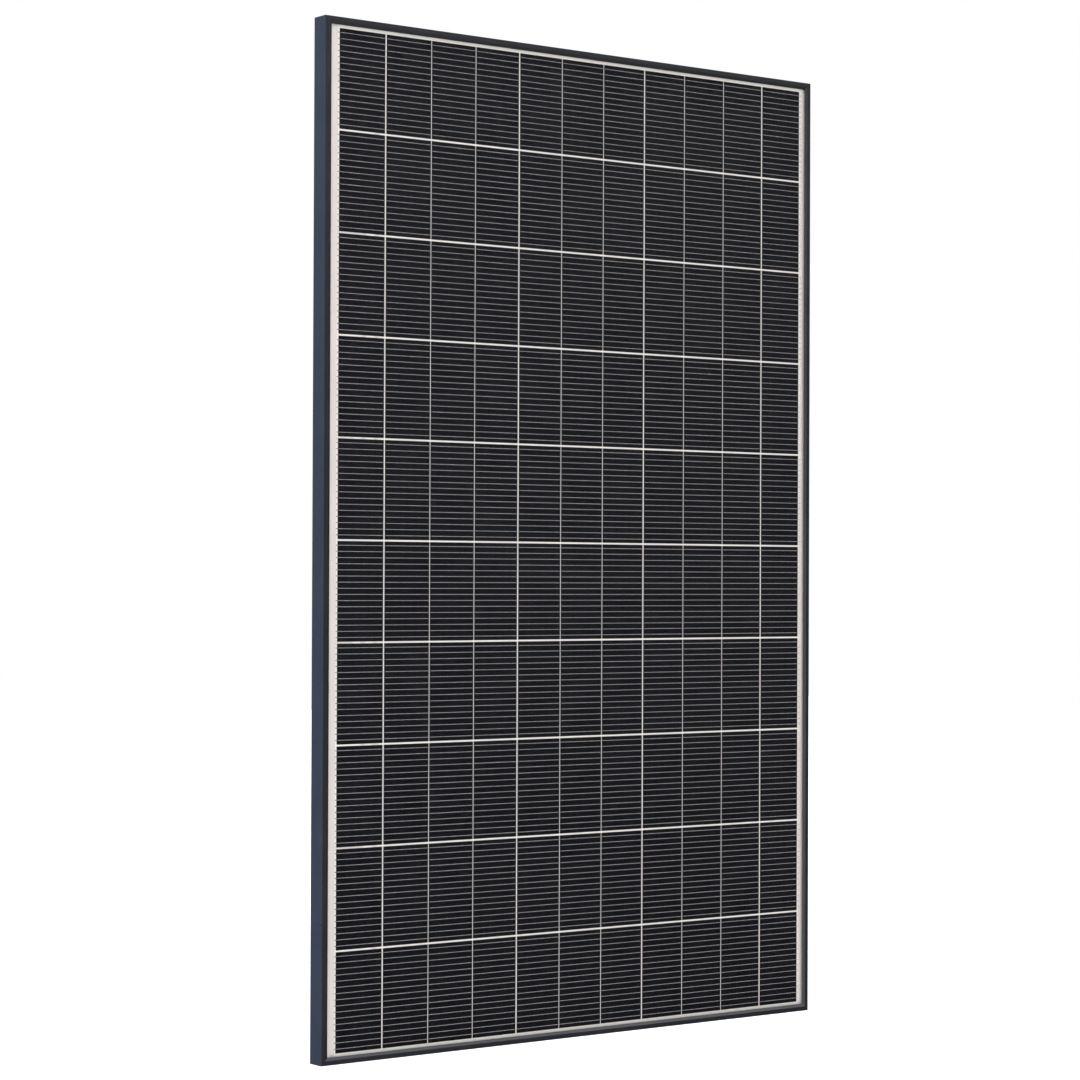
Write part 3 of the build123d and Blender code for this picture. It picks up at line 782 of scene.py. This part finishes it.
class SOLAR_OT_wires(bpy.types.Operator):
    """Build the wires that step from the front of one cell to the back of the next"""

    bl_idname = "solar.wires"
    bl_label = "Wires"

    def execute(self, context):
        finish = context.scene.solar_laminate
        metal = tuple(finish.wire_metal)
        dark = tuple(0.8 * part for part in metal)
        material = tinned("Tinned wire", dark, metal, 0.45, 0.38, 0.00002)
        for row, node in enumerate(named("cell_wires")):
            heights = spaced_levels(node, 2, LEVEL_GAP)
            first = (heights[0] + heights[1]) / 2
            pitch = heights[2] - heights[0]
            run = self.run_mesh(finish, node, row % 2 == 1, heights[1] - heights[0])
            count = len(heights) // 2
            mesh = repeat(f"wires_{row + 1:02d}", run, material, (count, (0, 0, pitch), (0, 0, first)))
            add_piece(f"wires_{row + 1:02d}", mesh, "panel", None, [node])
        self.solder_beads()
        return {"FINISHED"}

    def solder_beads(self):
        """Dull beads where the wires cross from the left ribbon to the first cells."""
        solder = tinned("Dull solder", (0.14, 0.135, 0.13), (0.20, 0.19, 0.185), 0.5, 0.5, 0.00003)
        heights = spaced_levels("cell_wires_10", 2, LEVEL_GAP)
        sheet_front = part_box("rear_encapsulant")[0].y
        wire_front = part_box("cell_wires_10")[0].y
        first_cell = cell_edges()[0][0]
        strip_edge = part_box("cover_strip")[1].x
        half = 0.85 * MM
        near = (strip_edge + 0.2 * MM, -sheet_front + 0.01 * MM, -half)
        points, faces = block(near, (first_cell - 0.3 * MM, -wire_front, half), 0.2 * MM)
        bead = outward(mesh_from("bead", [(x, -y, z) for x, y, z in points], faces))
        row_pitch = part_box("cell_row_09")[0].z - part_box("cell_row_10")[0].z
        mesh = repeat(
            "solder_beads", bead, solder,
            (len(heights) // 2, (0, 0, heights[2] - heights[0]), (0, 0, (heights[0] + heights[1]) / 2)),
            (len(named("cell_row")), (0, 0, row_pitch), (0, 0, 0)),
        )
        add_piece("solder_beads", mesh, "panel")

    def run_mesh(self, finish, node, turned_round, width):
        """One wire from bus ribbon to bus ribbon, cell by cell, at height 0."""
        low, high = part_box(node)
        depths = spaced_levels(node, 1, SHEET_LEVEL_GAP)
        front, rear = (depths[0] + depths[1]) / 2, (depths[2] + depths[3]) / 2
        half_width, half_thickness = width / 2, (depths[1] - depths[0]) / 2
        section = [
            (-half_width, 0), (-0.62 * half_width, -half_thickness), (0.62 * half_width, -half_thickness),
            (half_width, 0), (0.62 * half_width, half_thickness), (-0.62 * half_width, half_thickness),
        ]
        edges = cell_edges()
        if turned_round:
            middle = edges[0][0] + edges[-1][1]
            edges = [(middle - end, middle - start) for start, end in reversed(edges)]
        overrun = high.x - cell_edges()[-1][1]
        runs = [[(edges[0][0] - overrun, rear), (edges[0][1] - WIRE_END_INSET, rear)]]
        for before, after in zip(edges, edges[1:]):
            keep = finish.wire_step * (after[0] - before[1])
            runs.append([
                (before[0] + WIRE_END_INSET, front), (before[1] + keep, front),
                (after[0] - keep, rear), (after[1] - WIRE_END_INSET, rear),
            ])
        runs.append([(edges[-1][0] + WIRE_END_INSET, front), (edges[-1][1] + overrun, front)])
        points, faces = [], []
        for run in runs:
            if turned_round:
                run = [(middle - x, y) for x, y in run]
            corners, sides = tube_through(run, section)
            faces += [tuple(corner + len(points) for corner in side) for side in sides]
            points += corners
        return outward(mesh_from("wire_run", points, faces))


class SOLAR_OT_ribbons(bpy.types.Operator):
    """Finish the ribbons, the films and the sheets behind the cells"""

    bl_idname = "solar.ribbons"
    bl_label = "Ribbons and sheets"

    def execute(self, context):
        finish = context.scene.solar_laminate
        for names, label, light, dark_share, net_scale, rough in (
            (["rear_encapsulant"], "White encapsulant", tuple(finish.sheet), 0.96, 650.0, 0.45),
            (["backsheet"], "Backsheet", tuple(finish.backsheet), 0.93, 240.0, 0.42),
            (["cover_strip", "insulation_strips"], "Cover film", tuple(finish.cover_film), 0.95, 380.0, 0.5),
        ):
            dark = tuple(dark_share * part for part in light)
            dress(names, white_film(label, dark, light, net_scale, rough))
        ribbon = tinned("Coated ribbon", (0.58, 0.52, 0.49), (0.80, 0.76, 0.73), 0.1, 0.45, 0.00004)
        dress(named("bus_ribbons"), ribbon)
        plate = tinned("Tin plate", (0.52, 0.51, 0.49), (0.72, 0.71, 0.69), 0.9, 0.32, 0.00003)
        dress(["tap_ribbons", "terminal_blocks"], plate)
        return {"FINISHED"}


class SOLAR_OT_junction_box(bpy.types.Operator):
    """Build the junction box, its lid, the glands and what is inside"""

    bl_idname = "solar.junction_box"
    bl_label = "Junction box"

    def execute(self, context):
        finish = context.scene.solar_box
        plastic = moulded("Box plastic", tuple(finish.plastic), 0.42, 2600.0, 0.00005, 0.12)
        rubber = moulded("Gland rubber", (0.020, 0.020, 0.020), 0.62, 1200.0, 0.00006, 0.10)
        places = {
            "junction_box_body": "panel",
            "junction_box_lid": "junction_box_lid",
            "gland_nut_upper": "gland_nut_upper",
            "gland_nut_lower": "gland_nut_lower",
        }
        for node, body in places.items():
            add_piece(node + "_moulded", softened(node, finish.edge_round), body, plastic, [node])
        dress(["junction_box_pad", "junction_box_lid_seal", "gland_seal_upper", "gland_seal_lower"], rubber)
        self.lid_ribs(finish, plastic)
        self.screws()
        self.diodes()
        return {"FINISHED"}

    def lid_ribs(self, finish, plastic):
        """Raised ribs across the lid, for grip."""
        low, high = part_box("junction_box_lid_seal")
        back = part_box("junction_box_lid")[1].y
        reach, width = 0.045, 0.0016
        middle_z = (low.z + high.z) / 2
        near, far = (-width / 2, back - 0.3 * MM, -reach / 2), (width / 2, back + 0.5 * MM, reach / 2)
        rib = block_mesh("rib", near, far, 0.35 * MM)
        start = (low.x + high.x) / 2 - finish.rib_pitch * (finish.rib_count - 1) / 2
        line = (finish.rib_count, (finish.rib_pitch, 0, 0), (start, 0, middle_z))
        mesh = repeat("lid_ribs", rib, plastic, line)
        add_piece("lid_ribs", mesh, "junction_box_lid")

    def screws(self):
        """Socket-headed screws in the terminals."""
        low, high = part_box("terminal_screws")
        steel = tinned("Zinc plated steel", (0.46, 0.46, 0.44), (0.62, 0.62, 0.60), 1.0, 0.3, 0.00002)
        head, shank, top = SCREW_HEAD, SCREW_SHANK, high.y
        rings = [
            (low.y, 1.2 * MM, 0.0), (low.y + 0.4 * MM, shank, 0.0), (top - 2.2 * MM, shank, 0.0),
            (top - 2.2 * MM, head - 0.15 * MM, 0.0), (top - 2.0 * MM, head, 0.0), (top - 0.4 * MM, head, 0.0),
            (top, head - 0.4 * MM, 0.0), (top, 1.7 * MM, 0.3), (top - 0.15 * MM, 1.5 * MM, 1.0),
            (top - 1.2 * MM, 1.5 * MM, 1.0),
        ]
        screw = outward(mesh_from("screw", *turned(rings)))
        across = (high.x - low.x - 2 * head) / 2
        up = high.z - low.z - 2 * head
        mesh = repeat(
            "screws", screw, steel, (3, (across, 0, 0), (low.x + head, 0, low.z + head)), (2, (0, 0, up), (0, 0, 0))
        )
        add_piece("screws", mesh, "panel", None, ["terminal_screws"])
        dress(["junction_box_hinge_pin"], steel)

    def diodes(self):
        """Moulded diodes on tinned leads, each with a pale band at one end."""
        epoxy = moulded("Diode epoxy", (0.012, 0.012, 0.013), 0.3, 1800.0, 0.00002, 0.03)
        leads = bpy.data.materials["Tin plate"]
        low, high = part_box("bypass_diodes")
        depth = (low.y + high.y) / 2
        screws_low, screws_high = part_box("terminal_screws")
        columns = [screws_low.x + SCREW_HEAD, (screws_low.x + screws_high.x) / 2, screws_high.x - SCREW_HEAD]
        rows = [screws_low.z + SCREW_HEAD, screws_high.z - SCREW_HEAD]
        mesh = softened("bypass_diodes", 0.25 * MM)
        mesh.materials.clear()
        mesh.materials.append(epoxy)
        mesh.materials.append(leads)
        for face in mesh.polygons:
            middle = face.center
            reach = min(math.hypot(middle.y - depth, middle.z - row) for row in rows)
            if rows[0] + 4 * MM < middle.z < rows[1] - 4 * MM:
                reach = math.hypot(middle.y - depth, middle.x - columns[0])
            face.material_index = 1 if reach < 0.7 * MM else 0
        add_piece("diodes", mesh, "panel", None, ["bypass_diodes"])
        band = moulded("Diode band", (0.55, 0.55, 0.53), 0.45, 1800.0, 0.00001, 0.03)
        half, inner, outer = 0.6 * MM, 3.58 * MM, 3.64 * MM
        ring = [(-half, inner, 0.0), (-half, outer, 0.0), (half, outer, 0.0), (half, inner, 0.0)]
        points, faces = turned(ring)
        sides = faces[2:] + self.end_ring(TURNED_SIDES, len(ring))
        lying = [(y, x, z) for x, y, z in points]
        standing = [(x, z, y) for x, y, z in points]
        pitch = columns[1] - columns[0]
        start = (columns[0] + pitch / 2 + 2.8 * MM, depth, rows[0])
        bands = repeat(
            "diode_bands", outward(mesh_from("band", lying, sides)), band,
            (2, (pitch, 0, 0), start), (2, (0, 0, rows[1] - rows[0]), (0, 0, 0)),
        )
        add_piece("diode_bands", bands, "panel")
        place = [(x + columns[0], y + depth, z + (rows[0] + rows[1]) / 2 + 2.8 * MM) for x, y, z in standing]
        upright = outward(mesh_from("diode_band_upright", place, sides))
        add_piece("diode_band_upright", upright, "panel", band)

    def end_ring(self, sides, rings):
        """The faces that join the last ring to the first."""
        last = (rings - 1) * sides
        return [
            (last + side, side, (side + 1) % sides, last + (side + 1) % sides) for side in range(sides)
        ]


class SOLAR_OT_label(bpy.types.Operator):
    """Finish the blank rating label, with its ruled lines"""

    bl_idname = "solar.label"
    bl_label = "Label"

    def execute(self, context):
        dress(["rating_label"], label_paper())
        ink = moulded("Label ink", (0.03, 0.03, 0.032), 0.5, 1500.0, 0.00001, 0.0)
        low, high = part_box("rating_label")
        back, inset, half_line, cut = high.y, 5 * MM, 0.3 * MM, 0.01 * MM
        front = back + 0.04 * MM
        rule = block_mesh("rule", (low.x + inset, back, -half_line), (high.x - inset, front, half_line), cut)
        rows = 9
        pitch = (high.z - low.z - 2 * inset) / (rows - 1)
        rules = repeat("label_rules", rule, ink, (rows, (0, 0, pitch), (0, 0, low.z + inset)))
        add_piece("label_rules", rules, "panel")
        upright = block_mesh("upright", (-half_line, back, low.z + inset), (half_line, front, high.z - inset), cut)
        width = high.x - low.x - 2 * inset
        columns = repeat("label_columns", upright, ink, (4, (width / 3, 0, 0), (low.x + inset, 0, 0)))
        add_piece("label_columns", columns, "panel")
        near, far = (low.x + inset, back, high.z - inset - pitch), (high.x - inset, front, high.z - inset)
        add_piece("label_heading", block_mesh("heading", near, far, cut), "panel", ink)
        return {"FINISHED"}


class SOLAR_OT_stage(bpy.types.Operator):
    """Set up the floor, the lights and the camera"""

    bl_idname = "solar.stage"
    bl_label = "Stage"

    def execute(self, context):
        setup = context.scene.solar_stage
        self.floor()
        self.sky(setup)
        self.lights(setup)
        self.camera(setup)
        context.scene.view_settings.view_transform = "Standard"
        return {"FINISHED"}

    def floor(self):
        """A pale floor that reads as white."""
        material, tree, shader, place = new_material(
            "Pale floor", Roughness=0.9, Emission_Strength=0.75, Emission_Color=(1, 1, 1, 1)
        )
        tones = mottled(tree, place, 2.0, 200.0, (0.80, 0.80, 0.80), (0.84, 0.84, 0.84))
        join(tree, tones["Colour"], shader["Base Color"])
        half = 12.0
        level = cad_low.z - 0.2 * MM
        corners = [(-half, -half, level), (half, -half, level), (half, half, level), (-half, half, level)]
        mesh = mesh_from("floor", corners, [(0, 1, 2, 3)])
        mesh.materials.append(material)
        floor = put_in_scene("floor", mesh)
        floor.visible_glossy = False

    def sky(self, setup):
        """White behind everything, even light all round, and broad soft boxes in what shines."""
        world = bpy.data.worlds.new("Studio")
        bpy.context.scene.world = world
        world.use_nodes = True
        tree = world.node_tree
        tree.nodes.clear()
        way = put(tree, "ShaderNodeSeparateXYZ", Vector=put(tree, "ShaderNodeTexCoord").outputs["Generated"]).outputs
        x, y, z = way[0], way[1], way[2]
        front = times(tree, ramp(tree, x, 0.05, 0.50, 1.0, 0.0), ramp(tree, y, -0.6, 0.1, 1.0, 0.0))
        front = times(tree, front, calc(tree, "MULTIPLY_ADD", z, -4.0, 1.8))
        above = times(tree, ramp(tree, z, 0.31, 0.42), ramp(tree, x, 0.40, 0.62, 2.2, 6.5))
        neutral = calc(tree, "ADD", calc(tree, "MAXIMUM", front, 0.0), calc(tree, "ADD", above, 0.12))
        left = times(tree, ramp(tree, x, -0.75, 0.1, 1.0, 0.0), ramp(tree, y, -0.2, 0.7))
        left = times(tree, left, calc(tree, "MULTIPLY_ADD", z, 0.25, 1.0))
        red, green, blue = (calc(tree, "MULTIPLY_ADD", left, share, neutral) for share in (0.73, 1.05, 1.63))
        shine = put(tree, "ShaderNodeCombineColor", Red=red, Green=green, Blue=blue)
        path = put(tree, "ShaderNodeLightPath").outputs
        level = ramp(tree, y, -0.2, 0.7, setup.ambient, 0.62 * setup.ambient)
        soft = blend_colours(tree, path["Is Glossy Ray"], level, shine.outputs[0])
        seen = blend_colours(tree, path["Is Camera Ray"], soft, (1.0, 1.0, 1.0))
        background = put(tree, "ShaderNodeBackground", Color=seen, Strength=1.0)
        out = tree.nodes.new("ShaderNodeOutputWorld")
        join(tree, background.outputs[0], out.inputs["Surface"])

    def lights(self, setup):
        """A large soft light in front and to the left, and a smaller one behind."""
        middle = (cad_low + cad_high) / 2
        for name, power, size, place in (
            ("key_light", setup.key_power, 3.0, (-3.0, -3.5, 3.4)),
            ("back_light", 0.35 * setup.key_power, 2.0, (2.4, 3.2, 3.0)),
        ):
            lamp = bpy.data.lights.new(name, "AREA")
            lamp.energy = power
            lamp.size = size
            light = put_in_scene(name, lamp)
            light.location = place
            light.rotation_mode = "QUATERNION"
            light.rotation_quaternion = (middle - Vector(place)).to_track_quat("-Z", "Y")
            light.visible_glossy = False
            light.visible_camera = False

    def camera(self, setup):
        """A long lens, nearly level, from the front and left, with the tops of the rails out of sight."""
        data = bpy.data.cameras.new("camera")
        data.sensor_width = 36.0
        data.lens = setup.lens
        data.shift_y = CAMERA_SHIFT
        data.clip_start, data.clip_end = 0.1, 100.0
        camera = put_in_scene("camera", data)
        camera.location = CAMERA_PLACE
        camera.rotation_mode = "XYZ"
        camera.rotation_euler = [math.radians(angle) for angle in CAMERA_ANGLES]
        bpy.context.scene.camera = camera


class SOLAR_PT_looks(bpy.types.Panel):
    """The panel's finishes and their steps"""

    bl_label = "Solar panel"
    bl_idname = "SOLAR_PT_looks"
    bl_space_type = "VIEW_3D"
    bl_region_type = "UI"
    bl_category = "Solar panel"

    def draw(self, context):
        scene = context.scene
        for settings in (scene.solar_frame, scene.solar_laminate, scene.solar_box, scene.solar_stage):
            box = self.layout.box()
            for name in settings.__annotations__:
                box.prop(settings, name)
        for step in steps:
            self.layout.operator(step.bl_idname)


steps = (
    SOLAR_OT_frame,
    SOLAR_OT_glass,
    SOLAR_OT_cells,
    SOLAR_OT_wires,
    SOLAR_OT_ribbons,
    SOLAR_OT_junction_box,
    SOLAR_OT_label,
    SOLAR_OT_stage,
)
settings_groups = {
    "solar_frame": FrameFinish,
    "solar_laminate": LaminateFinish,
    "solar_box": JunctionBoxFinish,
    "solar_stage": StudioSetup,
}


def register():
    for name, group in settings_groups.items():
        bpy.utils.register_class(group)
        setattr(bpy.types.Scene, name, PointerProperty(type=group))
    for part in (*steps, SOLAR_PT_looks):
        bpy.utils.register_class(part)


def unregister():
    for part in reversed((*steps, SOLAR_PT_looks)):
        bpy.utils.unregister_class(part)
    for name, group in settings_groups.items():
        delattr(bpy.types.Scene, name)
        bpy.utils.unregister_class(group)


def main():
    """Make every piece in order."""
    register()
    bpy.ops.solar.frame()
    bpy.ops.solar.glass()
    bpy.ops.solar.cells()
    bpy.ops.solar.wires()
    bpy.ops.solar.ribbons()
    bpy.ops.solar.junction_box()
    bpy.ops.solar.label()
    bpy.ops.solar.stage()


if __name__ == "__main__":
    main()
